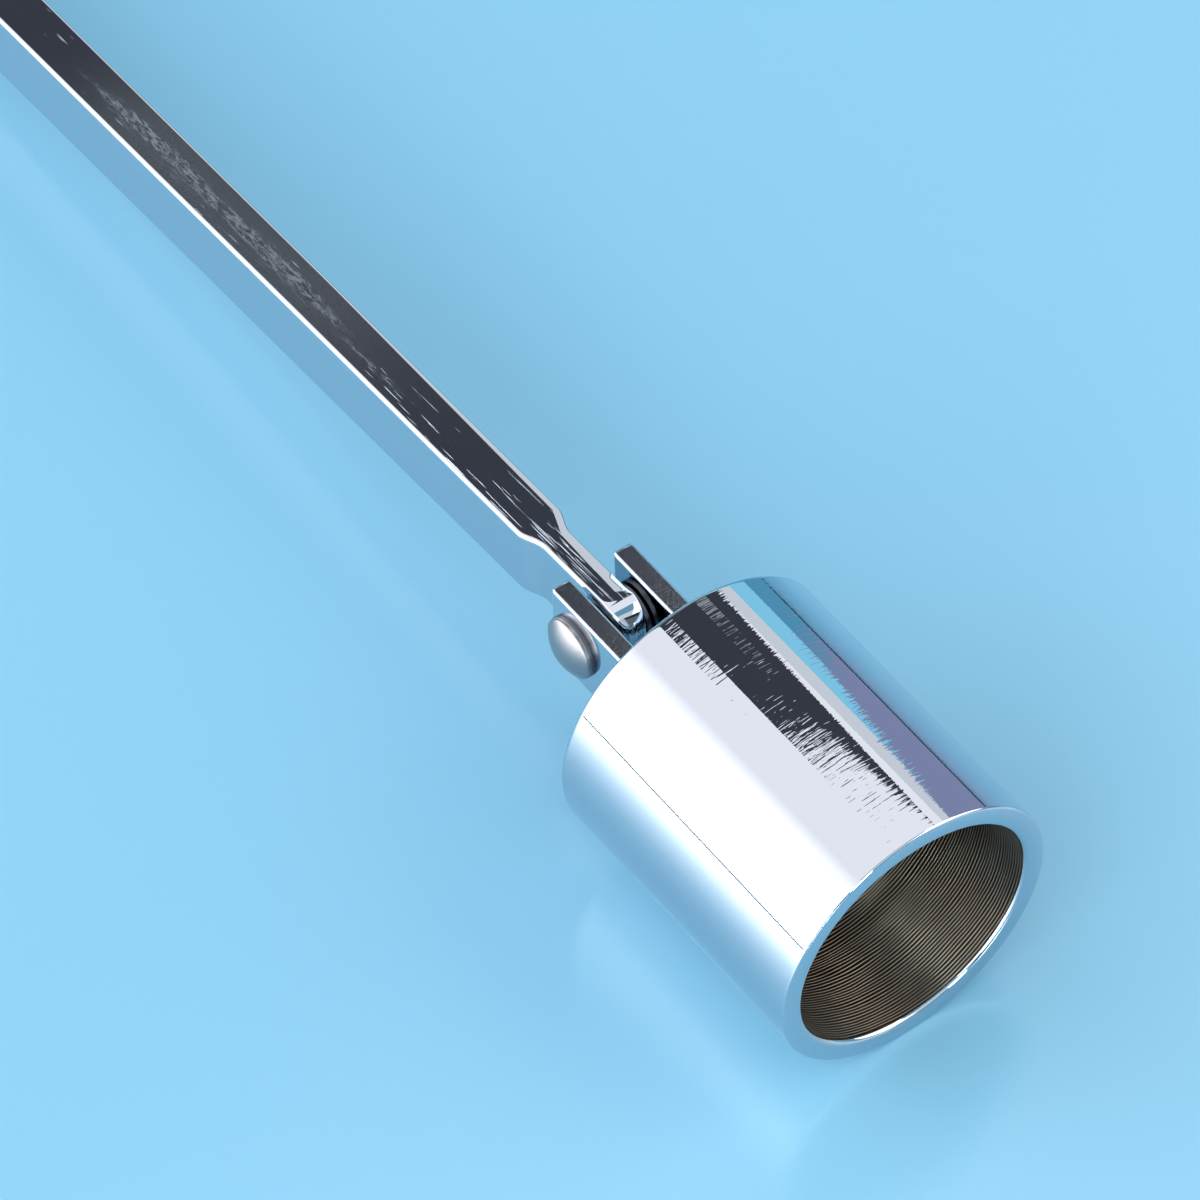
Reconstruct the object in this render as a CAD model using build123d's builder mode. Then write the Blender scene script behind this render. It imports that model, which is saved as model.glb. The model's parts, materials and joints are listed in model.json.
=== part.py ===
from build123d import *
import os
from math import asin, cos, sin

os.makedirs("parts", exist_ok=True)

# Candle snuffer: a turned cup that swings in a clevis at the end of a long bar handle.
# It lies on its side on a table, with the cup and the handle's far end touching the table.
# +X runs from the handle to the cup's mouth, +Y along the pivot and +Z up.
# The origin is on the table, midway along the snuffer.

# Cup
cup_diameter = 28.0
cup_length = 31.4
cup_wall = 2.1
cup_end_thickness = 2.4
end_edge_radius = 0.6
floor_corner_radius = 0.5
mouth_outer_chamfer = 0.25
mouth_inner_chamfer = 0.35

# Clevis, one strip bent to a U whose base lies on the cup's closed end
strip_thickness = 2.1
strip_width = 9.2
bend_radius = 0.8
pivot_standoff = 10.8
ear_overhang = 3.6
ear_end_radius = 0.8
ear_corner_radius = 0.7
ear_edge_radius = 0.3

# Handle, a bar pressed flat to a tongue at the pivot
handle_length = 170.0
tongue_thickness = 3.0
tongue_height = 7.5
tongue_nose = 3.5
tongue_reach = 8.2
shoulder_length = 2.9
shoulder_width = 4.7
shoulder_height = 7.8
end_width = 5.2
end_height = 8.8
handle_edge_radius = 0.85
shoulder_pull_share = 0.45

# Pivot rivet and its washers
rivet_diameter = 3.0
head_diameter = 6.0
head_edge_thickness = 0.6
head_dome_height = 0.8
head_edge_radius = 0.12
tail_diameter = 4.8
tail_edge_thickness = 0.35
tail_dome_height = 0.7
outer_washer_diameter = 6.1
outer_washer_thickness = 0.35
inner_washer_diameter = 5.4
inner_washer_thickness = 0.5
washer_edge_radius = 0.08

# Countersunk screw that holds the clevis to the cup from inside
screw_diameter = 3.0
screw_head_diameter = 5.6
screw_head_angle = 90.0
screw_tip_length = 0.4
recess_length = 3.2
recess_width = 0.6
recess_depth = 0.9

# Clearances and the overrun of every cut
tongue_side_clearance = 0.15
pivot_clearance = 0.05
fixed_clearance = 0.02
overrun = 1.0

# Sizes that follow from the ones above
cup_radius = cup_diameter / 2
bore_radius = cup_radius - cup_wall
ear_gap = tongue_thickness + 2 * (inner_washer_thickness + 2 * tongue_side_clearance)
ear_face = ear_gap / 2 + strip_thickness
end_radius = end_height / 2
end_centre_reach = handle_length - end_radius
handle_droop = asin((cup_radius - end_radius) / end_centre_reach)
handle_span = end_centre_reach * cos(handle_droop) + end_radius
cup_span = pivot_standoff + cup_length
pivot_x = (handle_span - cup_span) / 2
inner_washer_seat = tongue_thickness / 2 + tongue_side_clearance
head_seat = ear_face + outer_washer_thickness

pivot = Vector(pivot_x, 0, cup_radius)
pivot_plane = Plane(origin=pivot, x_dir=(1, 0, 0), z_dir=(0, 1, 0))
cup_end_plane = Plane(origin=pivot + Vector(pivot_standoff, 0, 0), x_dir=(0, 1, 0), z_dir=(1, 0, 0))
cup_floor_plane = cup_end_plane.offset(cup_end_thickness)
along_handle = Vector(-cos(handle_droop), 0, -sin(handle_droop))
above_handle = Vector(-sin(handle_droop), 0, cos(handle_droop))
handle_side_plane = Plane(origin=pivot, x_dir=along_handle, z_dir=(0, 1, 0))
handle_top_plane = Plane(origin=pivot, x_dir=along_handle, z_dir=above_handle)


def finish(piece, name):
    """Label a finished piece and write its file."""
    piece.part.label = name
    export_step(piece.part, f"parts/{name}.step")


# Cup: a closed cylinder, bored from the mouth
with BuildPart() as cup:
    with BuildSketch(cup_end_plane):
        Circle(cup_radius)
    extrude(amount=cup_length)
    fillet(cup.edges().group_by(Axis.X)[0], end_edge_radius)
    with BuildSketch(cup_floor_plane):
        Circle(bore_radius)
    extrude(amount=cup_length, mode=Mode.SUBTRACT)
    mouth_edges = cup.edges().group_by(Axis.X)[-1].sort_by(SortBy.RADIUS)
    chamfer(mouth_edges[-1], mouth_outer_chamfer)
    chamfer(mouth_edges[0], mouth_inner_chamfer)
    fillet(cup.faces().filter_by(GeomType.PLANE).sort_by(Axis.X)[1].edges(), floor_corner_radius)
    with Locations(cup_floor_plane):
        CounterSinkHole(
            screw_diameter / 2 + fixed_clearance,
            screw_head_diameter / 2 + fixed_clearance,
            counter_sink_angle=screw_head_angle,
        )
finish(cup, "cup")


# Clevis: the strip seen from above, then its two ears rounded and drilled
with BuildPart() as clevis:
    clevis_length = pivot_standoff + ear_overhang
    with BuildSketch(Plane.XY.offset(cup_radius)):
        with Locations((pivot_x + pivot_standoff, 0)):
            Rectangle(clevis_length, 2 * ear_face, align=(Align.MAX, Align.CENTER))
        with Locations((pivot_x + pivot_standoff - strip_thickness, 0)):
            Rectangle(clevis_length, ear_gap, align=(Align.MAX, Align.CENTER), mode=Mode.SUBTRACT)
    extrude(amount=strip_width / 2, both=True)
    fillet(clevis.edges().filter_by(Axis.Z).group_by(Axis.X)[1], bend_radius)
    fillet(clevis.edges().filter_by(Axis.Z).group_by(Axis.X)[-1], bend_radius + strip_thickness)
    ear_end_edges = clevis.edges().filter_by(Axis.Z).group_by(Axis.X)[0].sort_by(Axis.Y)
    fillet([ear_end_edges[0], ear_end_edges[-1]], ear_end_radius)
    fillet(clevis.faces().filter_by(Axis.Z).edges(), ear_edge_radius)
    with BuildSketch(pivot_plane) as ear_outline:
        with Locations((pivot_standoff, 0)):
            Rectangle(clevis_length, strip_width, align=(Align.MAX, Align.CENTER))
        fillet(ear_outline.vertices().group_by(Axis.X)[0], ear_corner_radius)
    extrude(amount=ear_face, both=True, mode=Mode.INTERSECT)
    with Locations(pivot_plane):
        Hole(rivet_diameter / 2 + fixed_clearance)
    with Locations(cup_end_plane):
        Hole(screw_diameter / 2, depth=strip_thickness + overrun)
finish(clevis, "clevis")


# Handle: its side outline, cut by its outline from above, with all long edges rounded
def bar_flare(start_half, bar_half, end_half):
    """Draw one long edge of the bar: tongue, shoulder and taper, from the pivot outwards."""
    bar_start = tongue_reach + shoulder_length
    taper = asin((end_half - bar_half) / (end_centre_reach - bar_start))
    shoulder_end = (bar_start - bar_half * sin(taper), bar_half * cos(taper))
    taper_end = (end_centre_reach - end_half * sin(taper), end_half * cos(taper))
    pull = shoulder_length * shoulder_pull_share
    Line((0, start_half), (tongue_reach, start_half))
    Bezier(
        (tongue_reach, start_half),
        (tongue_reach + pull, start_half),
        (shoulder_end[0] - pull * cos(taper), shoulder_end[1] - pull * sin(taper)),
        shoulder_end,
    )
    return Line(shoulder_end, taper_end)


with BuildPart() as handle:
    with BuildSketch(handle_side_plane):
        with BuildLine() as side_outline:
            ThreePointArc((0, -tongue_height / 2), (-tongue_nose, 0), (0, tongue_height / 2))
            upper_edge = bar_flare(tongue_height / 2, shoulder_height / 2, end_radius)
            mirror(side_outline.line, about=Plane.XZ)
            ThreePointArc(
                upper_edge @ 1,
                (handle_length, 0),
                ((upper_edge @ 1).X, -(upper_edge @ 1).Y),
            )
        make_face()
    extrude(amount=end_width, both=True)
    with BuildSketch(handle_top_plane):
        with BuildLine() as top_outline:
            past_nose = -tongue_nose - overrun
            past_end = handle_length + overrun
            Polyline((past_nose, 0), (past_nose, tongue_thickness / 2), (0, tongue_thickness / 2))
            outer_edge = bar_flare(tongue_thickness / 2, shoulder_width / 2, end_width / 2)
            Polyline(outer_edge @ 1, (past_end, (outer_edge @ 1).Y), (past_end, 0))
            mirror(top_outline.line, about=Plane.XZ)
        make_face()
    extrude(amount=end_height, both=True, mode=Mode.INTERSECT)
    edges_across = handle.edges().filter_by(Axis.Y) + handle.edges().filter_by(Axis(pivot, above_handle))
    fillet(handle.edges() - edges_across, handle_edge_radius)
    with Locations(pivot_plane):
        Hole(rivet_diameter / 2 + pivot_clearance)
finish(handle, "handle")


# Pivot rivet: domed head, shank through both ears, and a peened tail
with BuildPart() as rivet:
    with BuildSketch(Plane(origin=pivot, x_dir=(1, 0, 0), z_dir=(0, 0, 1))):
        with BuildLine():
            head_rim = (head_diameter / 2, -head_seat - head_edge_thickness)
            tail_rim = (tail_diameter / 2, head_seat + tail_edge_thickness)
            head_top = (0, head_rim[1] - head_dome_height)
            tail_top = (0, tail_rim[1] + tail_dome_height)
            Polyline(
                head_rim,
                (head_diameter / 2, -head_seat),
                (rivet_diameter / 2, -head_seat),
                (rivet_diameter / 2, head_seat),
                (tail_diameter / 2, head_seat),
                tail_rim,
            )
            TangentArc(head_top, head_rim, tangent=(1, 0))
            TangentArc(tail_top, tail_rim, tangent=(1, 0))
            Line(head_top, tail_top)
        make_face()
    revolve(axis=Axis(pivot, (0, 1, 0)))
    full_circles = rivet.edges().filter_by(lambda edge: edge.is_closed)
    fillet(full_circles.group_by(SortBy.RADIUS)[-1], head_edge_radius)
finish(rivet, "pivot_rivet")


def make_washer(name, low_y, diameter, thickness):
    """Make one washer on the rivet's shank, from low_y towards +Y."""
    with BuildPart() as washer:
        with BuildSketch(pivot_plane.offset(low_y)):
            Circle(diameter / 2)
            Circle(rivet_diameter / 2 + fixed_clearance, mode=Mode.SUBTRACT)
        extrude(amount=thickness)
        outer_circles = washer.edges().filter_by(GeomType.CIRCLE).group_by(SortBy.RADIUS)[-1]
        fillet(outer_circles, washer_edge_radius)
    finish(washer, name)


make_washer("head_washer", -head_seat, outer_washer_diameter, outer_washer_thickness)
make_washer("tail_washer", ear_face, outer_washer_diameter, outer_washer_thickness)
make_washer(
    "head_side_spacer",
    -inner_washer_seat - inner_washer_thickness,
    inner_washer_diameter,
    inner_washer_thickness,
)
make_washer("tail_side_spacer", inner_washer_seat, inner_washer_diameter, inner_washer_thickness)


# Clevis screw: countersunk head flush with the cup's floor, tip through the clevis base
with BuildPart() as screw:
    shank_length = cup_end_thickness + strip_thickness + screw_tip_length
    head_height = (screw_head_diameter - screw_diameter) / 2
    with BuildSketch(cup_floor_plane):
        Circle(screw_diameter / 2)
    extrude(amount=-shank_length)
    with BuildSketch(cup_floor_plane):
        Circle(screw_head_diameter / 2)
    extrude(amount=-head_height, taper=screw_head_angle / 2)
    with BuildSketch(cup_floor_plane):
        Rectangle(recess_length, recess_width)
        Rectangle(recess_width, recess_length)
    extrude(amount=-recess_depth, mode=Mode.SUBTRACT)
finish(screw, "clevis_screw")
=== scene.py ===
import bmesh
import bpy
import json
from math import asin, cos, pi, radians, sin, sqrt
from mathutils import Matrix, Vector


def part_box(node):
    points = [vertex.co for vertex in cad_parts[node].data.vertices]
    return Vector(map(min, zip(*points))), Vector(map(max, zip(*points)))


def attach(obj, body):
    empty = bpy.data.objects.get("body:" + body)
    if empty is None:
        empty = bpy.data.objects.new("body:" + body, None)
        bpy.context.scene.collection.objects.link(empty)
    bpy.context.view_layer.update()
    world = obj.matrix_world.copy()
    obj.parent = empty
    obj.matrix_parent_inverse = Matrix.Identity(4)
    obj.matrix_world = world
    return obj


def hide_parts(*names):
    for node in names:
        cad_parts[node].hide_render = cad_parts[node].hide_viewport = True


# A chromed candle snuffer: a turned cup that swings in a clevis at the end of a long bar handle.
# The frame is in metres: +X runs from the handle to the cup's mouth, +Y along the pivot, +Z up.

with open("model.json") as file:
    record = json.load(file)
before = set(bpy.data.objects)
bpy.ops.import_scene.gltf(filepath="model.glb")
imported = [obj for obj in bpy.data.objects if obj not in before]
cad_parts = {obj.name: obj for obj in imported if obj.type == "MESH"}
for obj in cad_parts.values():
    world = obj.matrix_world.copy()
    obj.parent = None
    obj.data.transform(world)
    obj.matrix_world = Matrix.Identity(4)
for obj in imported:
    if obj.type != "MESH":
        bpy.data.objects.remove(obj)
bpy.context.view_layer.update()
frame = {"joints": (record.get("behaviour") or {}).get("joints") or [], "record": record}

mm = 0.001

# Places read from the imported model
cup_low, cup_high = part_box("cup")
cup_radius = (cup_high.z - cup_low.z) / 2
cup_length = cup_high.x - cup_low.x
cup_end = Vector((cup_low.x, 0, cup_radius))
bore_mount = next(mount for mount in frame["record"]["mounts"] if mount["name"] == "cup_bore")
bore_radius = bore_mount["dims"]["r_mm"] * mm
pivot = Vector(frame["joints"][0]["pos_m"])
clevis_low, clevis_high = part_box("clevis")
strip_width = clevis_high.z - clevis_low.z
ear_face = clevis_high.y

# Cup
cup_end_thickness = 2.4 * mm
cup_end_edge = 0.6 * mm
cup_floor_corner = 0.5 * mm
rim_outer_edge = 0.25 * mm
rim_inner_edge = 0.45 * mm

# Clevis
strip_thickness = 2.1 * mm
bend_radius = 0.8 * mm
ear_end_radius = 0.8 * mm
ear_end_inner_radius = 0.75 * mm
ear_corner_radius = 0.7 * mm
ear_edge_radius = 0.3 * mm
ear_inner_face = ear_face - strip_thickness
sheared_level = 0.95

# Handle
handle_length = 170.0 * mm
tongue_thickness = 3.0 * mm
tongue_height = 7.5 * mm
tongue_nose = 3.5 * mm
tongue_reach = 8.2 * mm
nose_thinning_share = 0.5
nose_edge_radius = 2.6 * mm
flat_end = nose_edge_radius - tongue_nose
flat_end_reach = 1.0 * mm
flat_end_cuts = 6
shoulder_length = 2.9 * mm
shoulder_width = 4.7 * mm
shoulder_height = 7.8 * mm
shoulder_steps = 8
taper_reach = 45.0 * mm
end_width = 5.2 * mm
end_height = 8.8 * mm
head_side_edge = 0.45 * mm
tail_side_edge = 0.14 * mm
edge_steps = 9
tongue_facet_width = 1.08 * mm
root_facet_width = 0.8 * mm
shoulder_facet_width = 0.52 * mm
bar_facet_width = 0.1 * mm
facet_cut = 0.3 * mm
facet_slope = 0.258
pivot_clearance = 0.05 * mm

# Rivet, washers and screw
rivet_radius = 1.5 * mm
head_radius = 3.0 * mm
head_dome_height = 1.1 * mm
head_edge_radius = 0.12 * mm
tail_radius = 2.4 * mm
tail_dome_height = 0.7 * mm
washer_edge_radius = 0.08 * mm
fixed_clearance = 0.02 * mm
screw_radius = 1.5 * mm
screw_head_radius = 2.8 * mm
recess_length = 3.2 * mm
recess_width = 0.6 * mm
recess_depth = 0.9 * mm

# Steps round what is turned or drilled
cup_steps = 256
turned_steps = 96
drilled_steps = 64

# Length of a drill or cutting block, in times the thickness or half width of what it goes through
drill_reach = 4

# Margins: for points that are one point, for a tool beside a face, and for a place that is looked up
same_place = 0.001 * mm
boolean_margin = 0.002 * mm
near_enough = 0.01 * mm

# How far along an axis a direction points that counts as along it, as mostly along it, and as sideways
# on the handle, whose shoulder leans
aligned = 0.99
mostly_aligned = 0.9
sideways = 0.8

# Edges sharper than this stay crisp
smooth_angle = radians(35)


# Camera, at the photograph's viewing angle, with its lens and sensor in millimetres

camera_place = Vector((0.357173, -0.210912, 0.475033))
camera_aim = Vector((0.052070, 0.006828, 0))
camera_roll = radians(-1.4771)
camera_lens = 201.367
camera_sensor = 36.0
camera_clip_start = 0.05
camera_clip_end = 60


def add_camera():
    """Stand the camera where the photograph was taken from."""
    camera = bpy.data.cameras.new("photo_camera")
    camera.lens = camera_lens
    camera.sensor_width = camera_sensor
    camera.clip_start = camera_clip_start
    camera.clip_end = camera_clip_end
    stand = bpy.data.objects.new("photo_camera", camera)
    bpy.context.scene.collection.objects.link(stand)
    towards = (camera_aim - camera_place).to_track_quat("-Z", "Y").to_matrix().to_4x4()
    roll = Matrix.Rotation(camera_roll, 4, "Z")
    stand.matrix_world = Matrix.Translation(camera_place) @ towards @ roll
    bpy.context.scene.camera = stand


# Node groups: each is one surface effect, placed in the materials with its own values

# Most of a noise lies between these levels
noise_low, noise_high = 0.38, 0.62


class Effect:
    """A shader node group under construction: its tree, what it is given and what it puts out."""

    def __init__(self, name, inputs, outputs):
        self.tree = bpy.data.node_groups.new(name, "ShaderNodeTree")
        for label, kind, value in inputs:
            socket = self.tree.interface.new_socket(name=label, in_out="INPUT", socket_type=kind)
            if value is not None:
                socket.default_value = value
        for label, kind in outputs:
            self.tree.interface.new_socket(name=label, in_out="OUTPUT", socket_type=kind)
        self.given = self.tree.nodes.new("NodeGroupInput").outputs
        self.result = self.tree.nodes.new("NodeGroupOutput").inputs


def add_node(tree, kind, values=(), **settings):
    """Add a node, set its settings, and fill its sockets with values or links, by name or number."""
    node = tree.nodes.new(kind)
    for setting, value in settings.items():
        setattr(node, setting, value)
    for socket, value in dict(values).items():
        if isinstance(value, bpy.types.NodeSocket):
            tree.links.new(value, node.inputs[socket])
        else:
            node.inputs[socket].default_value = value
    return node


def stretched_noise(tree, place, cells, detail, roughness=0.5):
    """Noise stretched along the axes, given its cells a metre along X, Y and Z."""
    cell = add_node(tree, "ShaderNodeVectorMath", {0: place, 1: cells}, operation="MULTIPLY")
    noise = add_node(
        tree,
        "ShaderNodeTexNoise",
        {"Vector": cell.outputs[0], "Scale": 1.0, "Detail": detail, "Roughness": roughness},
    )
    return noise.outputs["Fac"]


def calculate(tree, operation, first, second=0.0, third=0.0):
    """One step of arithmetic between values or links."""
    node = add_node(tree, "ShaderNodeMath", {0: first, 1: second, 2: third}, operation=operation)
    return node.outputs[0]


def remap(tree, value, low, high, to_low=0.0, to_high=1.0, smooth=True):
    """Turn the span from low to high into the span from to_low to to_high."""
    node = add_node(
        tree,
        "ShaderNodeMapRange",
        {"Value": value, "From Min": low, "From Max": high, "To Min": to_low, "To Max": to_high},
        interpolation_type="SMOOTHSTEP" if smooth else "LINEAR",
    )
    return node.outputs["Result"]


def make_turning_rings():
    """Fine rings left by the lathe round the X axis, rougher in some patches than in others."""
    effect = Effect(
        "turning_rings",
        [
            ("Place", "NodeSocketVector", None),
            ("Rings per metre", "NodeSocketFloat", 3000.0),
            ("Evenness", "NodeSocketFloat", 0.1),
            ("Patchiness", "NodeSocketFloat", 0.7),
        ],
        [("Height", "NodeSocketFloat")],
    )
    tree, given = effect.tree, effect.given
    wander_cells = (500.0, 160.0, 160.0)
    wander_in_rings = 1.5
    ring_begins, ring_full = 0.1, 1.0
    fine_rings_per_ring = 1.3
    cells_round = 420.0
    patch_cells = (150.0, 180.0, 180.0)
    rate = given["Rings per metre"]
    drift = stretched_noise(tree, given["Place"], wander_cells, detail=1.0)
    wander = calculate(tree, "MULTIPLY", drift, wander_in_rings)
    along = add_node(tree, "ShaderNodeSeparateXYZ", {0: given["Place"]}).outputs["X"]
    ring_count = calculate(tree, "MULTIPLY_ADD", along, rate, wander)
    ring_wave = calculate(tree, "SINE", calculate(tree, "MULTIPLY", ring_count, 2 * pi))
    even_rings = remap(tree, ring_wave, ring_begins, ring_full)
    fine_rate = calculate(tree, "MULTIPLY", rate, fine_rings_per_ring)
    ring_cells = {0: fine_rate, 1: cells_round, 2: cells_round}
    across = add_node(tree, "ShaderNodeCombineXYZ", ring_cells).outputs[0]
    fine_rings = stretched_noise(tree, given["Place"], across, detail=2.0, roughness=0.6)
    uneven = calculate(tree, "MULTIPLY", fine_rings, calculate(tree, "SUBTRACT", 1.0, given["Evenness"]))
    rings = calculate(tree, "MULTIPLY_ADD", even_rings, given["Evenness"], uneven)
    patches = stretched_noise(tree, given["Place"], patch_cells, detail=2.0)
    amount = remap(tree, patches, noise_low, noise_high)
    kept = calculate(tree, "SUBTRACT", 1.0, given["Patchiness"])
    share = calculate(tree, "MULTIPLY_ADD", amount, given["Patchiness"], kept)
    tree.links.new(calculate(tree, "MULTIPLY", rings, share), effect.result["Height"])
    return effect.tree


def make_drawn_lines():
    """Broken lines drawn along X by grinding, deep where two noises agree, and scuffed bands."""
    effect = Effect(
        "drawn_lines",
        [
            ("Place", "NodeSocketVector", None),
            ("Lines per metre", "NodeSocketFloat", 9000.0),
            ("Cover", "NodeSocketFloat", 0.58),
            ("Scuff cover", "NodeSocketFloat", 0.5),
        ],
        [("Height", "NodeSocketFloat"), ("Scuffs", "NodeSocketFloat")],
    )
    tree, given = effect.tree, effect.given
    line_cells_along, line_cells_up = 200.0, 500.0
    patch_cells = (60.0, 900.0, 100.0)
    band_cells = (28.0, 450.0, 60.0)
    patch_begins, patch_full = 0.42, 0.54
    line_fade = 0.1
    scuff_fade = 0.16
    line_cells = {0: line_cells_along, 1: given["Lines per metre"], 2: line_cells_up}
    across = add_node(tree, "ShaderNodeCombineXYZ", line_cells).outputs[0]
    fine = stretched_noise(tree, given["Place"], across, detail=1.0)
    sparse = remap(tree, fine, given["Cover"], calculate(tree, "ADD", given["Cover"], line_fade))
    patches = stretched_noise(tree, given["Place"], patch_cells, detail=2.0)
    kept = remap(tree, patches, patch_begins, patch_full)
    tree.links.new(calculate(tree, "MULTIPLY", sparse, kept), effect.result["Height"])
    bands = stretched_noise(tree, given["Place"], band_cells, detail=3.0, roughness=0.6)
    scuff_end = calculate(tree, "ADD", given["Scuff cover"], scuff_fade)
    tree.links.new(remap(tree, bands, given["Scuff cover"], scuff_end), effect.result["Scuffs"])
    return effect.tree


def make_plated_grain():
    """Grain of the metal under its plating."""
    effect = Effect(
        "plated_grain",
        [("Place", "NodeSocketVector", None), ("Grains per metre", "NodeSocketFloat", 4000.0)],
        [("Height", "NodeSocketFloat")],
    )
    tree, given = effect.tree, effect.given
    grain = add_node(
        tree,
        "ShaderNodeTexNoise",
        {"Vector": given["Place"], "Scale": given["Grains per metre"], "Detail": 3.0, "Roughness": 0.7},
    )
    tree.links.new(grain.outputs["Fac"], effect.result["Height"])
    return effect.tree


turning_rings = make_turning_rings()
drawn_lines = make_drawn_lines()
plated_grain = make_plated_grain()


# Materials

chrome_colour = (0.53, 0.60, 0.66, 1)
# The next three paint light on the bore's wall: a painted shade colour for the tool's grooves, a painted
# highlight colour for the ridges between them, for light caught from the cup's mouth, and a power that
# narrows that highlight
groove_shade_colour = (0.12, 0.105, 0.085, 1)
crest_highlight_colour = (0.64, 0.58, 0.48, 1)
crest_highlight_narrowing = 1.6
satin_colour = (0.34, 0.345, 0.355, 1)
washer_colour = (0.14, 0.14, 0.16, 1)
screw_colour = (0.42, 0.42, 0.43, 1)

# Depth of the rings, lines and grain that each finish shows
cup_ring_depth = 0.0048 * mm
bore_ring_depth = 0.06 * mm
fine_grain_depth = 0.003 * mm
sheared_grain_depth = 0.0065 * mm
satin_grain_depth = 0.008 * mm
dull_grain_depth = 0.01 * mm
drawn_line_depth = 0.03 * mm
scuff_depth = 0.006 * mm

# Levels of noise above which a line or a scuff shows on the handle: a high level leaves few of them,
# and scuffs_thinning is added to it where they thin out
few_lines, many_lines = 0.76, 0.61
few_scuffs, many_scuffs = 0.58, 0.36
scuffs_thinning = 0.2

# Roughness of the handle's plating where it is clean, and what dulling and haze add to it on the top,
# with the share of the dulling that is left near the tongue
clean_roughness = 0.05
slight_dulling, full_dulling = 0.02, 0.16
dulling_left = 0.2
least_haze, most_haze = -0.03, 0.15
haze_cells = (900.0, 3500.0, 1000.0)

# How nearly straight up a face looks where the marks of the handle's top begin and are at their full
top_begins, top_full = 0.978, 0.992

# Where those marks begin, are at their full, fade and end, along the snuffer
lines_begin = -10 * mm
scuffs_begin = -32 * mm
scuffs_full = -8 * mm
scuffs_fade = 5 * mm
scuffs_end = 40 * mm
dulling_begin = -27 * mm
dulling_full = -8 * mm
dulling_fade = 16 * mm
dulling_end = 46 * mm

# The scuffed band across the handle's top: how far its middle lies towards -Y, and its half widths
scuff_band_offset = 0.4 * mm
scuff_band_full = 0.5 * mm
scuff_band_end = 1.8 * mm


class Finish:
    """A material under construction, with its tree, its shader and the piece's own coordinates."""

    def __init__(self, name, colour, roughness, metallic=1.0):
        self.material = bpy.data.materials.new(name)
        self.material.use_nodes = True
        self.tree = self.material.node_tree
        self.shader = self.tree.nodes["Principled BSDF"]
        self.shader.inputs["Base Color"].default_value = colour
        self.shader.inputs["Metallic"].default_value = metallic
        self.shader.inputs["Roughness"].default_value = roughness
        coordinates = self.tree.nodes.new("ShaderNodeTexCoord")
        self.place = coordinates.outputs["Object"]
        self.facing = coordinates.outputs["Normal"]

    def feed(self, socket, value):
        """Lead a value into one of the shader's sockets."""
        self.tree.links.new(value, self.shader.inputs[socket])

    def effect(self, group, **values):
        """Place one of the effects and return its outputs."""
        node = self.tree.nodes.new("ShaderNodeGroup")
        node.node_tree = group
        for label, value in values.items():
            socket = node.inputs[label.replace("_", " ")]
            if isinstance(value, bpy.types.NodeSocket):
                self.tree.links.new(value, socket)
            else:
                socket.default_value = value
        return node.outputs

    def relief(self, height, depth, under=None):
        """Bump of a height, depth metres deep, laid over another bump if one is given."""
        bump = self.tree.nodes.new("ShaderNodeBump")
        bump.inputs["Distance"].default_value = depth
        self.tree.links.new(height, bump.inputs["Height"])
        if under is not None:
            self.tree.links.new(under, bump.inputs["Normal"])
        return bump.outputs["Normal"]


def grained_metal(name, colour, roughness, grains_per_metre, grain_depth):
    """Metal with the grain that shows through its plating or polish."""
    finish = Finish(name, colour, roughness)
    grain = finish.effect(plated_grain, Place=finish.place, Grains_per_metre=grains_per_metre)
    finish.feed("Normal", finish.relief(grain["Height"], grain_depth))
    return finish.material


def cup_chrome():
    """Bright chrome over turned metal: crisp mirror with fine rings that fray the reflections."""
    finish = Finish("cup_chrome", chrome_colour, roughness=0.008)
    rings = finish.effect(turning_rings, Place=finish.place, Rings_per_metre=1800.0, Patchiness=0.5)
    finish.feed("Normal", finish.relief(rings["Height"], cup_ring_depth))
    return finish.material


def bored_steel():
    """The bore's bare wall: dull brown-grey, with painted shade in the tool's grooves and a painted
    highlight on the ridges between them, for light caught from the cup's mouth.
    """
    finish = Finish("bored_steel", groove_shade_colour, roughness=0.37)
    rings = finish.effect(
        turning_rings, Place=finish.place, Rings_per_metre=3300.0, Evenness=0.85, Patchiness=0.3
    )
    # The ring tops get a narrowed painted highlight, mixed over the painted shade of the grooves
    crest_highlight = calculate(finish.tree, "POWER", rings["Height"], crest_highlight_narrowing)

    # The numbers of the Mix node's sockets for colours
    share, groove, crest, mixed = 0, 6, 7, 2
    colours = {share: crest_highlight, groove: groove_shade_colour, crest: crest_highlight_colour}
    wall = add_node(finish.tree, "ShaderNodeMix", colours, data_type="RGBA")
    finish.feed("Base Color", wall.outputs[mixed])
    finish.feed("Normal", finish.relief(rings["Height"], bore_ring_depth))
    return finish.material


def rim_chrome():
    """Chrome on the faced rim."""
    return grained_metal("rim_chrome", chrome_colour, 0.08, 3000.0, fine_grain_depth)


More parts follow.
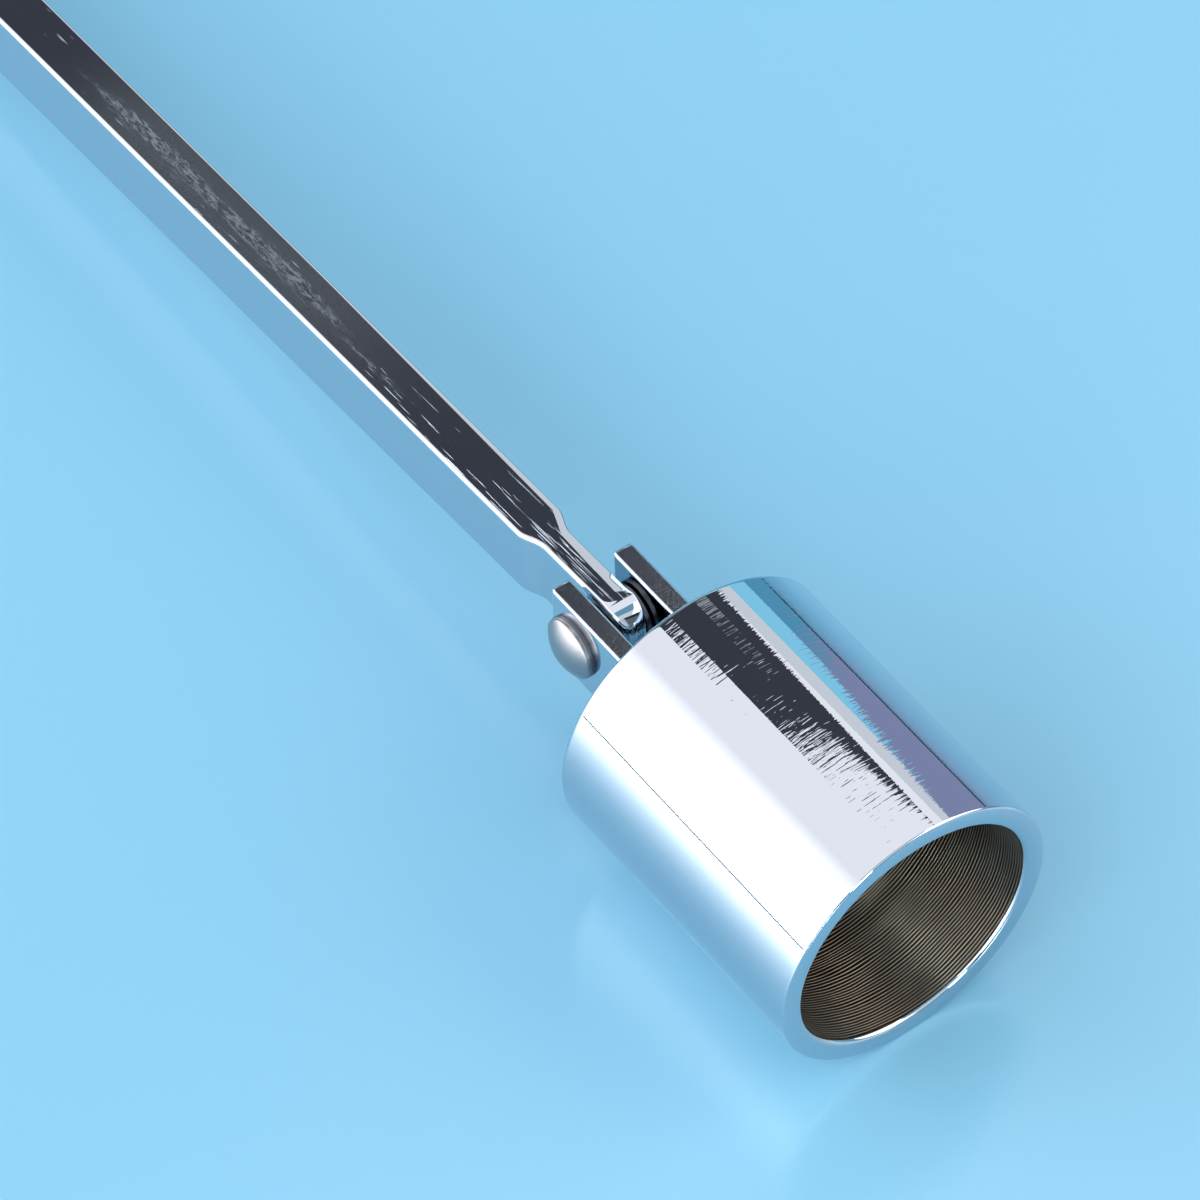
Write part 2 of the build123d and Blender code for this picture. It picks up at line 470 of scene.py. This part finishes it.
def handle_chrome():
    """Bright chrome over ground bar stock, with broken drawn lines and scuffed patches on its top."""
    finish = Finish("handle_chrome", chrome_colour, clean_roughness)
    tree = finish.tree
    place = add_node(tree, "ShaderNodeSeparateXYZ", {0: finish.place}).outputs
    along = place["X"]
    off_band = calculate(tree, "ABSOLUTE", calculate(tree, "ADD", place["Y"], scuff_band_offset))
    line_cover = remap(tree, along, lines_begin, pivot.x, few_lines, many_lines)
    growing = remap(tree, along, scuffs_begin, scuffs_full, few_scuffs, many_scuffs)
    fading = remap(tree, along, scuffs_fade, scuffs_end, 0.0, scuffs_thinning)
    beside = remap(tree, off_band, scuff_band_full, scuff_band_end, 0.0, scuffs_thinning)
    scuff_cover = calculate(tree, "ADD", growing, calculate(tree, "ADD", fading, beside))
    lines = finish.effect(drawn_lines, Place=finish.place, Cover=line_cover, Scuff_cover=scuff_cover)
    grain = finish.effect(plated_grain, Place=finish.place, Grains_per_metre=3500.0)
    up = add_node(tree, "ShaderNodeSeparateXYZ", {0: finish.facing}).outputs["Z"]
    top_face = remap(tree, up, top_begins, top_full)
    scuffed_top = calculate(tree, "MULTIPLY", lines["Scuffs"], top_face)

    dulling = remap(tree, along, dulling_begin, dulling_full, slight_dulling, full_dulling)
    dulling_share = remap(tree, along, dulling_fade, dulling_end, 1.0, dulling_left)
    dulled = calculate(tree, "MULTIPLY", calculate(tree, "MULTIPLY", top_face, dulling), dulling_share)
    mottle = stretched_noise(tree, finish.place, haze_cells, detail=4.0, roughness=0.65)
    haze = remap(tree, mottle, noise_low, noise_high, least_haze, most_haze)
    hazed = calculate(tree, "MULTIPLY", scuffed_top, haze)
    roughness = calculate(tree, "ADD", calculate(tree, "ADD", hazed, dulled), clean_roughness)
    finish.feed("Roughness", roughness)

    line_height = calculate(tree, "MULTIPLY", lines["Height"], top_face)
    scuff_height = calculate(tree, "MULTIPLY", grain["Height"], scuffed_top)
    lined = finish.relief(line_height, drawn_line_depth)
    finish.feed("Normal", finish.relief(scuff_height, scuff_depth, lined))
    return finish.material


def clevis_chrome():
    """Bright chrome on the clevis strip's rolled faces and rounded edges."""
    return grained_metal("clevis_chrome", chrome_colour, 0.05, 1500.0, fine_grain_depth)


def sheared_chrome():
    """Chrome on the clevis strip's sheared edges, grainy under the plating."""
    return grained_metal("sheared_chrome", chrome_colour, 0.075, 3500.0, sheared_grain_depth)


def satin_rivet():
    """Satin plating on the rivet's dome."""
    return grained_metal("satin_rivet", satin_colour, 0.28, 2500.0, satin_grain_depth)


def dark_washer():
    """Dark satin steel of the washers and spacers."""
    return grained_metal("dark_washer", washer_colour, 0.34, 4000.0, dull_grain_depth)


def satin_screw():
    """Satin steel of the countersunk screw."""
    return grained_metal("satin_screw", screw_colour, 0.32, 4000.0, dull_grain_depth)


# Modelling helpers: the operators act on what is selected, so each one selects first


def start_piece(name):
    """Name the primitive that was just added, and open it in edit mode with all of it selected."""
    piece = bpy.context.object
    piece.name = name
    piece.data.name = name
    bpy.ops.object.transform_apply(location=True, rotation=True, scale=True)
    bpy.ops.object.mode_set(mode="EDIT")
    bpy.ops.mesh.select_mode(type="VERT")
    bpy.ops.mesh.select_all(action="SELECT")
    return piece


def pick(piece, kind, test):
    """In edit mode, select just the faces or edges that pass a test."""
    bpy.ops.mesh.select_mode(type=kind)
    bpy.ops.mesh.select_all(action="DESELECT")
    mesh = bmesh.from_edit_mesh(piece.data)
    for part in mesh.faces if kind == "FACE" else mesh.edges:
        if test(part):
            part.select_set(True)
    bmesh.update_edit_mesh(piece.data)


def middle(edge):
    """The middle of an edge."""
    return (edge.verts[0].co + edge.verts[1].co) / 2


def runs_along(edge, axis, least=aligned):
    """Whether an edge runs along X, Y or Z, given as 0, 1 or 2."""
    span = edge.verts[1].co - edge.verts[0].co
    return abs(span[axis]) > least * span.length


def is_near(value, target):
    """Whether two lengths agree, as far as modelling goes."""
    return abs(value - target) < near_enough


def round_edges(radius, segments):
    """Round the selected edges."""
    bpy.ops.mesh.bevel(
        offset=radius, offset_type="OFFSET", segments=segments, profile=0.5, affect="EDGES"
    )


def is_level(face):
    """Whether a face looks straight up or down."""
    return abs(face.normal.z) > aligned


def is_border(edge, test):
    """Whether one face at an edge passes a test and the other doesn't."""
    return sorted(test(face) for face in edge.link_faces) == [False, True]


def crosswise_at(x):
    """A test for the edges that run along Y at one place along X."""
    return lambda edge: runs_along(edge, 1) and is_near(middle(edge).x, x)


def combine(piece, tool, operation):
    """Cut a piece by a tool body, or keep what both share, and remove the tool."""
    bpy.ops.object.select_all(action="DESELECT")
    bpy.context.view_layer.objects.active = piece
    piece.select_set(True)
    cut = piece.modifiers.new("cut", "BOOLEAN")
    cut.operation = operation
    cut.solver = "EXACT"
    cut.object = tool
    bpy.ops.object.modifier_apply(modifier=cut.name)
    bpy.data.objects.remove(tool)


def drill(piece, place, axis, radius, depth):
    """Drill a round hole through a piece, along X or Y."""
    bpy.ops.object.select_all(action="DESELECT")
    turn = (0, pi / 2, 0) if axis == "X" else (pi / 2, 0, 0)
    bpy.ops.mesh.primitive_cylinder_add(
        vertices=drilled_steps, radius=radius, depth=depth, location=place, rotation=turn
    )
    combine(piece, bpy.context.object, "DIFFERENCE")


def finish_piece(piece, body, nodes):
    """Smooth a piece, keep its flats flat, and hang it on its body in place of its CAD nodes."""
    if bpy.context.mode != "OBJECT":
        bpy.ops.object.mode_set(mode="OBJECT")
    bpy.ops.object.select_all(action="DESELECT")
    bpy.context.view_layer.objects.active = piece
    piece.select_set(True)
    bpy.ops.object.shade_smooth_by_angle(angle=smooth_angle)
    weighted = piece.modifiers.new("flat_faces", "WEIGHTED_NORMAL")
    weighted.keep_sharp = True
    bpy.ops.object.modifier_apply(modifier=weighted.name)
    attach(piece, body)
    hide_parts(*nodes)


def turn_on_lathe(name, outline, steps):
    """Turn an outline of (distance along X, radius) points round the X axis.
    It is closed here, unless it starts and ends on the axis."""
    bpy.ops.object.select_all(action="DESELECT")
    bpy.ops.mesh.primitive_plane_add(size=mm)
    piece = start_piece(name)
    bpy.ops.mesh.merge(type="CENTER")
    points = [Vector((along, 0, radius)) for along, radius in outline]
    if points[0].z > 0:
        points.append(points[0])
    bpy.ops.transform.translate(value=points[0])
    for start, end in zip(points, points[1:]):
        bpy.ops.mesh.extrude_vertices_move(TRANSFORM_OT_translate={"value": end - start})
    bpy.ops.mesh.select_all(action="SELECT")
    bpy.ops.mesh.remove_doubles(threshold=same_place)
    bpy.ops.mesh.select_all(action="SELECT")
    bpy.ops.mesh.spin(steps=steps, angle=2 * pi, center=(0, 0, 0), axis=(1, 0, 0))
    bpy.ops.mesh.select_all(action="SELECT")
    bpy.ops.mesh.remove_doubles(threshold=same_place)
    bpy.ops.mesh.normals_make_consistent(inside=False)
    return piece


def pick_ring(piece, along, radius):
    """Select the ring of edges of a turned piece at one distance along X and one radius."""

    def on_ring(edge):
        places = [vertex.co for vertex in edge.verts]
        return all(is_near(place.x, along) and is_near(place.yz.length, radius) for place in places)

    pick(piece, "EDGE", on_ring)


def set_in_place(piece, place):
    """Move a finished mesh, so that its object stays at the origin."""
    if bpy.context.mode != "OBJECT":
        bpy.ops.object.mode_set(mode="OBJECT")
    piece.data.transform(place)


# The pieces


def model_cup():
    """Turn the cup: closed end with the screw's countersink, bored from the mouth, edges eased."""
    sink_depth = screw_head_radius - screw_radius
    hole_radius = screw_radius + fixed_clearance
    sink_radius = screw_head_radius + fixed_clearance
    outline = [
        (0, hole_radius),
        (0, cup_radius),
        (cup_length, cup_radius),
        (cup_length, bore_radius),
        (cup_end_thickness, bore_radius),
        (cup_end_thickness, sink_radius),
        (cup_end_thickness - sink_depth, hole_radius),
    ]
    cup = turn_on_lathe("snuffer_cup", outline, cup_steps)
    for along, ring_radius, edge_radius, segments in (
        (0, cup_radius, cup_end_edge, 6),
        (cup_end_thickness, bore_radius, cup_floor_corner, 4),
        (cup_length, cup_radius, rim_outer_edge, 3),
        (cup_length, bore_radius, rim_inner_edge, 3),
    ):
        pick_ring(cup, along, ring_radius)
        round_edges(edge_radius, segments)
    set_in_place(cup, Matrix.Translation(cup_end))
    for material in (cup_chrome(), bored_steel(), rim_chrome()):
        cup.data.materials.append(material)
    outer, bore, rim = range(3)
    rim_x = cup_end.x + cup_length
    for face in cup.data.polygons:
        out = face.center - cup_end
        radius = out.yz.length
        inside = out.x > cup_end_thickness - sink_depth and radius < bore_radius + same_place
        if inside and face.center.x < rim_x - rim_inner_edge:
            face.material_index = bore
        elif face.center.x > rim_x - same_place:
            face.material_index = rim
        else:
            face.material_index = outer
    finish_piece(cup, "cup", ["cup"])


def upright_at(x, y):
    """A test for the clevis's upright edges at one place along X, on both its sides."""

    def is_upright_there(edge):
        place = middle(edge)
        return runs_along(edge, 2) and is_near(place.x, x) and is_near(abs(place.y), y)

    return is_upright_there


def model_clevis():
    """Bend the clevis: a base with two ears, bends and rims rounded, drilled for rivet and screw."""
    low, high = clevis_low, clevis_high
    base_x = high.x - strip_thickness
    bpy.ops.object.select_all(action="DESELECT")
    bpy.ops.mesh.primitive_cube_add(
        size=1,
        location=((base_x + high.x) / 2, 0, pivot.z),
        scale=(strip_thickness, 2 * ear_face, strip_width),
    )
    clevis = start_piece("clevis_strip")

    # Draw the two ears out of the base
    for side in (-1, 1):
        bpy.ops.mesh.select_all(action="SELECT")
        bpy.ops.mesh.bisect(plane_co=(0, side * ear_inner_face, 0), plane_no=(0, 1, 0))

    def is_ear_root(face):
        return face.normal.x < -mostly_aligned and abs(face.calc_center_median().y) > ear_inner_face

    pick(clevis, "FACE", is_ear_root)
    bpy.ops.mesh.extrude_region_move(TRANSFORM_OT_translate={"value": (low.x - base_x, 0, 0)})
    bpy.ops.mesh.select_all(action="SELECT")
    bpy.ops.mesh.dissolve_limited(angle_limit=radians(1))

    # Round the bends, the ears' ends and the sheared rims
    for x, y, radius, segments in (
        (high.x, ear_face, bend_radius + strip_thickness, 12),
        (base_x, ear_inner_face, bend_radius, 6),
        (low.x, ear_face, ear_end_radius, 6),
        (low.x, ear_inner_face, ear_end_inner_radius, 5),
    ):
        pick(clevis, "EDGE", upright_at(x, y))
        round_edges(radius, segments)
    pick(clevis, "EDGE", lambda edge: is_border(edge, is_level))
    round_edges(ear_edge_radius, segments=4)

    # Cut the ears' round corners, and drill
    bpy.ops.object.mode_set(mode="OBJECT")
    bpy.ops.object.select_all(action="DESELECT")
    outline_height = strip_width + boolean_margin
    bpy.ops.mesh.primitive_cube_add(
        size=1,
        location=(low.x + strip_width, 0, pivot.z),
        scale=(2 * strip_width, drill_reach * ear_face, outline_height),
    )
    ear_outline = start_piece("ear_outline")
    pick(ear_outline, "EDGE", crosswise_at(low.x))
    round_edges(ear_corner_radius, segments=6)
    bpy.ops.object.mode_set(mode="OBJECT")
    combine(clevis, ear_outline, "INTERSECT")
    drill(clevis, pivot, "Y", rivet_radius + fixed_clearance, drill_reach * ear_face)
    drill(clevis, Vector((base_x, 0, pivot.z)), "X", screw_radius, drill_reach * strip_thickness)

    for material in (clevis_chrome(), sheared_chrome()):
        clevis.data.materials.append(material)
    rolled, sheared = range(2)
    for face in clevis.data.polygons:
        face.material_index = sheared if abs(face.normal.z) > sheared_level else rolled
    finish_piece(clevis, "cup", ["clevis"])


def kept_share(share):
    """A share, kept between 0 and 1."""
    return min(max(share, 0), 1)


def quarter_round(share):
    """The height of a quarter circle of radius 1 at this distance from its middle."""
    return sqrt(1 - share**2)


def bar_stations():
    """Distance from the pivot, width and height of the bar at its shoulder's steps, taper and end."""
    stations = []
    for step in range(1, shoulder_steps + 1):
        share = step / shoulder_steps
        rise = share * share * (3 - 2 * share)
        width = tongue_thickness + (shoulder_width - tongue_thickness) * rise
        stations.append((tongue_reach + shoulder_length * share, width, tongue_height))
    taper_start = stations[-1][0]
    taper_share = (taper_reach - taper_start) / (handle_length - taper_start)
    width = shoulder_width + (end_width - shoulder_width) * taper_share
    height = shoulder_height + (end_height - shoulder_height) * taper_share
    return [*stations, (taper_reach, width, height), (handle_length, end_width, end_height)]


def shape_tongue(handle):
    """Shape the handle's nose and top, while it still lies along X with the pivot at the origin.
    The facet goes on the side that is turned to +Y when the handle is laid down."""
    half_width = tongue_thickness / 2
    stops = [0, tongue_reach, tongue_reach + shoulder_length, taper_reach, handle_length]
    half_widths = [half_width] * 2 + [shoulder_width / 2] * 2 + [end_width / 2]
    facet_widths = [tongue_facet_width, root_facet_width, shoulder_facet_width] + [bar_facet_width] * 2

    def along(values, x):
        for stop, after, value, next_value in zip(stops, stops[1:], values, values[1:]):
            if x <= after:
                break
        return value + (next_value - value) * kept_share((x - stop) / (after - stop))

    for vertex in handle.data.vertices:
        x, y, z = vertex.co

        # The cut along the top moves out to the facet's border
        crease = along(half_widths, x) - tail_side_edge - along(facet_widths, x)
        if is_near(y, -facet_cut) and z > 0:
            y = -crease

        # The flats narrow to a round end, as on a spoon's tip, and the rounded edges widen beside them
        onto_flats = kept_share((x - flat_end) / flat_end_reach)
        flat_share = quarter_round(1 - onto_flats)
        if x < flat_end + flat_end_reach:
            edge = head_side_edge if y > 0 else tail_side_edge
            flat = half_width - edge
            across = abs(y) * flat_share
            if abs(y) > flat:
                across = flat * flat_share + (half_width - flat * flat_share) * (abs(y) - flat) / edge
            y = across if y > 0 else -across

        # The facet slopes down from its border
        past_crease = -y - crease * flat_share
        if z > 0 and past_crease > 0:
            z -= facet_slope * past_crease * onto_flats

        # The nose thins towards its end
        past_pivot = kept_share(-x / tongue_nose)
        y *= 1 - nose_thinning_share * (1 - quarter_round(past_pivot))
        vertex.co = (x, y, z)


def is_facet(face):
    """Whether a face is part of the facet along the handle's top."""
    facet_tilt = facet_slope / sqrt(1 + facet_slope**2)
    return face.normal.z > mostly_aligned and abs(face.normal.y - facet_tilt) < 0.05


def bounds_facet(edge):
    """Whether an edge is one of the facet's two long borders."""
    return is_border(edge, is_facet) and runs_along(edge, 0, least=0.7)


def laid_down():
    """The handle's turn and place in the frame: from the pivot it slopes down to touch the table."""
    droop = asin((cup_radius - end_height / 2) / (handle_length - end_height / 2))
    return Matrix(
        (
            (-cos(droop), 0, -sin(droop), pivot.x),
            (0, -1, 0, pivot.y),
            (-sin(droop), 0, cos(droop), pivot.z),
            (0, 0, 0, 1),
        )
    )


def model_handle():
    """Draw out the handle: thin tongue, shoulder and long bar, with round ends and all edges eased."""
    bpy.ops.object.select_all(action="DESELECT")
    bpy.ops.mesh.primitive_cube_add(
        size=1,
        location=((tongue_reach - tongue_nose) / 2, 0, 0),
        scale=(tongue_reach + tongue_nose, tongue_thickness, tongue_height),
    )
    handle = start_piece("handle_bar")

    # Draw the shoulder and the bar out of the tongue
    pick(handle, "FACE", lambda face: face.normal.x > mostly_aligned)
    place, width, height = tongue_reach, tongue_thickness, tongue_height
    for next_place, next_width, next_height in bar_stations():
        bpy.ops.mesh.extrude_region_move(TRANSFORM_OT_translate={"value": (next_place - place, 0, 0)})
        bpy.ops.transform.resize(value=(1, next_width / width, next_height / height))
        place, width, height = next_place, next_width, next_height

    # Round the nose and the far end, then the long edges of each side
    pick(handle, "EDGE", crosswise_at(-tongue_nose))
    round_edges(nose_edge_radius, segments=36)
    pick(handle, "EDGE", crosswise_at(handle_length))
    round_edges(end_height / 2 - boolean_margin, segments=24)
    bpy.ops.mesh.select_all(action="SELECT")
    bpy.ops.mesh.remove_doubles(threshold=3 * boolean_margin)
    for side, radius in ((1, head_side_edge), (-1, tail_side_edge)):
        pick(handle, "EDGE", lambda edge: is_border(edge, lambda face: side * face.normal.y > sideways))
        round_edges(radius, edge_steps)

    # Cut across the flats' end and along the top, where points have to move
    for cut in range(1, flat_end_cuts + 1):
        bpy.ops.mesh.select_all(action="SELECT")
        cut_place = flat_end + flat_end_reach * (cut / flat_end_cuts) ** 2
        bpy.ops.mesh.bisect(plane_co=(cut_place, 0, 0), plane_no=(1, 0, 0))
    pick(handle, "FACE", lambda face: face.normal.z > aligned and face.calc_center_median().x > flat_end)
    bpy.ops.mesh.bisect(plane_co=(0, -facet_cut, 0), plane_no=(0, 1, 0))
    bpy.ops.object.mode_set(mode="OBJECT")
    shape_tongue(handle)
    bpy.ops.object.mode_set(mode="EDIT")
    bpy.ops.mesh.select_all(action="SELECT")
    bpy.ops.mesh.remove_doubles(threshold=same_place)

    # Lay the handle down, drill it, and keep the facet's borders crisp
    bpy.ops.object.mode_set(mode="OBJECT")
    set_in_place(handle, laid_down())
    drill(handle, pivot, "Y", rivet_radius + pivot_clearance, drill_reach * tongue_thickness)
    bpy.ops.object.mode_set(mode="EDIT")
    pick(handle, "EDGE", bounds_facet)
    bpy.ops.mesh.mark_sharp()
    handle.data.materials.append(handle_chrome())
    finish_piece(handle, "handle", ["handle"])


def dome(first, height, radius, steps):
    """Points of a shallow dome's outline from its top, at distance first, to its rim.
    The rim is past the top along X, or before it where the height is below 0."""
    ball_radius = (radius * radius + height * height) / (2 * height)
    full_turn = asin(radius / ball_radius)
    turns = [full_turn * step / steps for step in range(steps + 1)]
    return [(first + ball_radius * (1 - cos(turn)), ball_radius * sin(turn)) for turn in turns]


def along_pivot():
    """Lay the lathe's X axis along the pivot, towards +Y."""
    return Matrix.Translation(pivot) @ Matrix.Rotation(pi / 2, 4, "Z")


def model_rivet():
    """Turn the pivot rivet: domed head on the -Y side, shank, and a smaller peened tail."""
    head_seat = -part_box("head_washer")[0].y
    rivet_low, rivet_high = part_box("pivot_rivet")
    head_dome = dome(rivet_low.y, head_dome_height, head_radius, steps=10)
    tail_dome = dome(rivet_high.y, -tail_dome_height, tail_radius, steps=8)
    outline = [
        *head_dome,
        (-head_seat, head_radius),
        (-head_seat, rivet_radius),
        (head_seat, rivet_radius),
        (head_seat, tail_radius),
        *reversed(tail_dome),
    ]
    rivet = turn_on_lathe("rivet", outline, turned_steps)
    pick_ring(rivet, rivet_low.y + head_dome_height, head_radius)
    round_edges(head_edge_radius, segments=3)
    set_in_place(rivet, along_pivot())
    rivet.data.materials.append(satin_rivet())
    finish_piece(rivet, "cup", ["pivot_rivet"])


def model_washer(name, node, material):
    """Turn one washer or spacer where its CAD node lies on the rivet's shank."""
    low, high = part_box(node)
    radius = (high.z - low.z) / 2
    hole_radius = rivet_radius + fixed_clearance
    outline = [(low.y, hole_radius), (low.y, radius), (high.y, radius), (high.y, hole_radius)]
    washer = turn_on_lathe(name, outline, turned_steps)
    for side in (low.y, high.y):
        pick_ring(washer, side, radius)
        round_edges(washer_edge_radius, segments=3)
    set_in_place(washer, along_pivot())
    washer.data.materials.append(material)
    finish_piece(washer, "cup", [node])


def model_screw():
    """Turn the countersunk screw and cut its cross recess."""
    low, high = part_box("clevis_screw")
    head_height = screw_head_radius - screw_radius
    length = high.x - low.x
    outline = [
        (0, 0),
        (0, screw_radius),
        (length - head_height, screw_radius),
        (length, screw_head_radius),
        (length, 0),
    ]
    screw = turn_on_lathe("countersunk_screw", outline, turned_steps)
    set_in_place(screw, Matrix.Translation((low.x, 0, pivot.z)))
    for width, height in ((recess_length, recess_width), (recess_width, recess_length)):
        bpy.ops.object.select_all(action="DESELECT")
        bpy.ops.mesh.primitive_cube_add(
            size=1, location=(high.x, 0, pivot.z), scale=(2 * recess_depth, width, height)
        )
        combine(screw, bpy.context.object, "DIFFERENCE")
    screw.data.materials.append(satin_screw())
    finish_piece(screw, "cup", ["clevis_screw"])


# Studio: a tent of light cards far from the snuffer, as it is mirrored in the chrome

# Radius of the tent, and of what hangs inside it, in metres
tent_radius = 3.0
curtain_radius = 2.6
near_radius = 2.4

# Degrees between the rows of a card's points
card_step = 6.0

# Where the cards meet, in degrees from straight up: below 0 is the -Y side
table_foot, softbox_foot, softbox_head, skirt_head = -90.3, -89.5, -58, -26
mouth_edge, diffuser_edge, sweep_head, sweep_fold, sweep_foot = 30, 48, 58, 71.5, 89.8

# Where the cards end along X, in radii from the cup's closed end
back, far, near, softbox_front, mouth_front, front = -4, -1.06, 0.05, 1.1, 1.9, 4

cup_top = cup_end + Vector((0, 0, cup_radius))


def tent_point(turn, reach, radius):
    """A point on the tent: turn is in degrees from straight up towards +Y, and reach in radii along X,
    both from the top of the cup's closed end."""
    angle = radians(turn)
    return cup_top + Vector((reach, sin(angle), cos(angle))) * radius


def mirrored_reach(along):
    """The reach of what the cup mirrors to the camera at a place this many mm from its closed end."""
    place = cup_top + Vector((along * mm, 0, 0))
    towards = (camera_place - place).normalized()
    return along * mm / curtain_radius - towards.x / sqrt(1 - towards.x**2)


def card_light(name, turns, colour, strength, last_strength):
    """A card's light. It changes evenly to last_strength, where that is given, over the card's turns."""
    light = bpy.data.materials.new(name)
    light.use_nodes = True
    tree = light.node_tree
    tree.nodes.clear()
    emission = add_node(tree, "ShaderNodeEmission", {"Color": (*colour, 1), "Strength": strength})
    add_node(tree, "ShaderNodeOutputMaterial", {"Surface": emission.outputs[0]})
    if last_strength is not None:
        place = add_node(tree, "ShaderNodeTexCoord").outputs["Object"]
        side = add_node(tree, "ShaderNodeSeparateXYZ", {0: place}).outputs
        turn = calculate(tree, "ARCTAN2", side["Y"], side["Z"])
        first, last = radians(turns[0]), radians(turns[-1])
        strength_here = remap(tree, turn, first, last, strength, last_strength, smooth=False)
        tree.links.new(strength_here, emission.inputs["Strength"])
    return light


def add_card(name, sections, colour, strength, last_strength=None, radius=tent_radius):
    """Hang one glowing card, cut to (turn, nearest reach, farthest reach) sections across it."""
    rows = [sections[0]]
    for before, after in zip(sections, sections[1:]):
        count = max(1, round((after[0] - before[0]) / card_step))
        for step in range(1, count + 1):
            share = step / count
            rows.append([start + (stop - start) * share for start, stop in zip(before, after)])
    bpy.ops.object.select_all(action="DESELECT")
    bpy.ops.mesh.primitive_grid_add(x_subdivisions=len(rows) - 1, y_subdivisions=1, size=2)
    card = bpy.context.object
    card.name = name
    for vertex in card.data.vertices:
        turn, low, high = rows[round((vertex.co.x + 1) / 2 * (len(rows) - 1))]
        vertex.co = tent_point(turn, low if vertex.co.y < 0 else high, radius)
    turns = [section[0] for section in sections]
    card.data.materials.append(card_light(name, turns, colour, strength, last_strength))
    card.visible_camera = False


def strip(first_turn, last_turn, low, high):
    """The sections of a straight card between two turns."""
    return [(first_turn, low, high), (last_turn, low, high)]


def add_tent():
    """Hang the cards that go round the snuffer, from the table on the -Y side over the top to the other."""
    white = (1.0, 1.0, 1.0)
    pink_white = (1.11, 1.03, 1.05)

    # Low on the -Y side
    add_card("table_gap", strip(table_foot, softbox_foot, back, front), (0.16, 0.15, 0.14), 1.0)
    side = strip(softbox_foot, softbox_head, back, softbox_front)
    add_card("side_softbox", side, (1.05, 1.0, 1.0), 4.6, last_strength=3.6)
    skirt = strip(softbox_head, skirt_head, back, 0.75)
    add_card("softbox_skirt", skirt, pink_white, 2.9, last_strength=1.25)

    # Past the cup's mouth, on that side and over the top
    add_card("mouth_light", strip(skirt_head, mouth_edge, 0.45, mouth_front), white, 1.0)
    add_card("front_softbox", strip(-42, -10, mouth_front, 4.2), white, 22.0)
    add_card("dark_corner", strip(-89.3, -50, softbox_front, 2.4), (0.02, 0.02, 0.03), 1.0)

    # Overhead and down the +Y side, and past the mouth there
    add_card("overhead_diffuser", strip(skirt_head, diffuser_edge, back, near), pink_white, 1.25)
    add_card("narrow_softbox", strip(diffuser_edge, sweep_head, back, near), (1.0, 0.97, 1.0), 1.0)
    add_card("blue_sweep_top", strip(sweep_head, sweep_fold, back, near), (0.37, 0.88, 1.14), 1.0)
    add_card("blue_sweep_shade", strip(sweep_fold, sweep_foot, back, near), (0.13, 0.43, 0.64), 1.0)
    add_card("far_softbox", strip(mouth_edge, 78, near, 1.6), (1.0, 0.86, 0.81), 3.0)


def add_curtains():
    """Hang the darker and coloured cards inside the tent, for the cup and the handle's top to mirror."""
    dark_gap = [
        (-4, far, mirrored_reach(3)),
        (6, far, mirrored_reach(3)),
        (6, far, mirrored_reach(17.5)),
        (30, far, mirrored_reach(20.5)),
        (41, far, mirrored_reach(32)),
        (42.4, far, mirrored_reach(22)),
        (44.2, far, mirrored_reach(12)),
        (48.4, far, mirrored_reach(0)),
        (51.5, far, mirrored_reach(-7)),
    ]
    add_card("dark_gap", dark_gap, (0.065, 0.066, 0.085), 1.0, radius=curtain_radius)
    window = [(27.5, -0.62, mirrored_reach(1)), (37, -0.62, mirrored_reach(3))]
    add_card("window", window, (1.0, 1.0, 1.0), 0.42, radius=near_radius)
    add_card("grey_wall", strip(-4, 52, back, far), (0.9, 1.0, 0.9), 0.35, radius=curtain_radius)
    violet_curtain = [
        (54, mirrored_reach(33), near),
        (58, mirrored_reach(26), near),
        (61.6, mirrored_reach(22), near),
        (67, mirrored_reach(18), near),
        (71, mirrored_reach(13.5), near),
        (88.4, mirrored_reach(12), near),
    ]
    add_card("violet_curtain", violet_curtain, (0.34, 0.36, 0.565), 1.0, radius=curtain_radius)
    skirting = strip(88.4, 89.9, mirrored_reach(4), near)
    add_card("skirting", skirting, (0.03, 0.03, 0.06), 1.0, radius=curtain_radius)


def add_air():
    """Light the air round the tent pale blue."""
    world = bpy.data.worlds.new("studio_air")
    world.use_nodes = True
    air = world.node_tree.nodes["Background"].inputs
    air["Color"].default_value = (0.30, 0.62, 0.84, 1)
    air["Strength"].default_value = 0.755
    bpy.context.scene.world = world


def blue_sheet():
    """Pale blue plastic sheet with a soft gloss."""
    return Finish("blue_sheet", (0.187, 0.45, 0.625, 1), roughness=0.18, metallic=0.0).material


def add_floor():
    """Lay the floor that the snuffer rests on."""
    bpy.ops.object.select_all(action="DESELECT")
    bpy.ops.mesh.primitive_plane_add(size=2 * tent_radius)
    floor = bpy.context.object
    floor.name = "floor"
    floor.data.materials.append(blue_sheet())


add_camera()
add_tent()
add_curtains()
add_air()
add_floor()
model_cup()
model_clevis()
model_handle()
model_rivet()
washer_steel = dark_washer()
model_washer("head_side_washer", "head_washer", washer_steel)
model_washer("tail_side_washer", "tail_washer", washer_steel)
model_washer("head_side_ring", "head_side_spacer", washer_steel)
model_washer("tail_side_ring", "tail_side_spacer", washer_steel)
model_screw()

bpy.context.scene.view_settings.view_transform = "Standard"
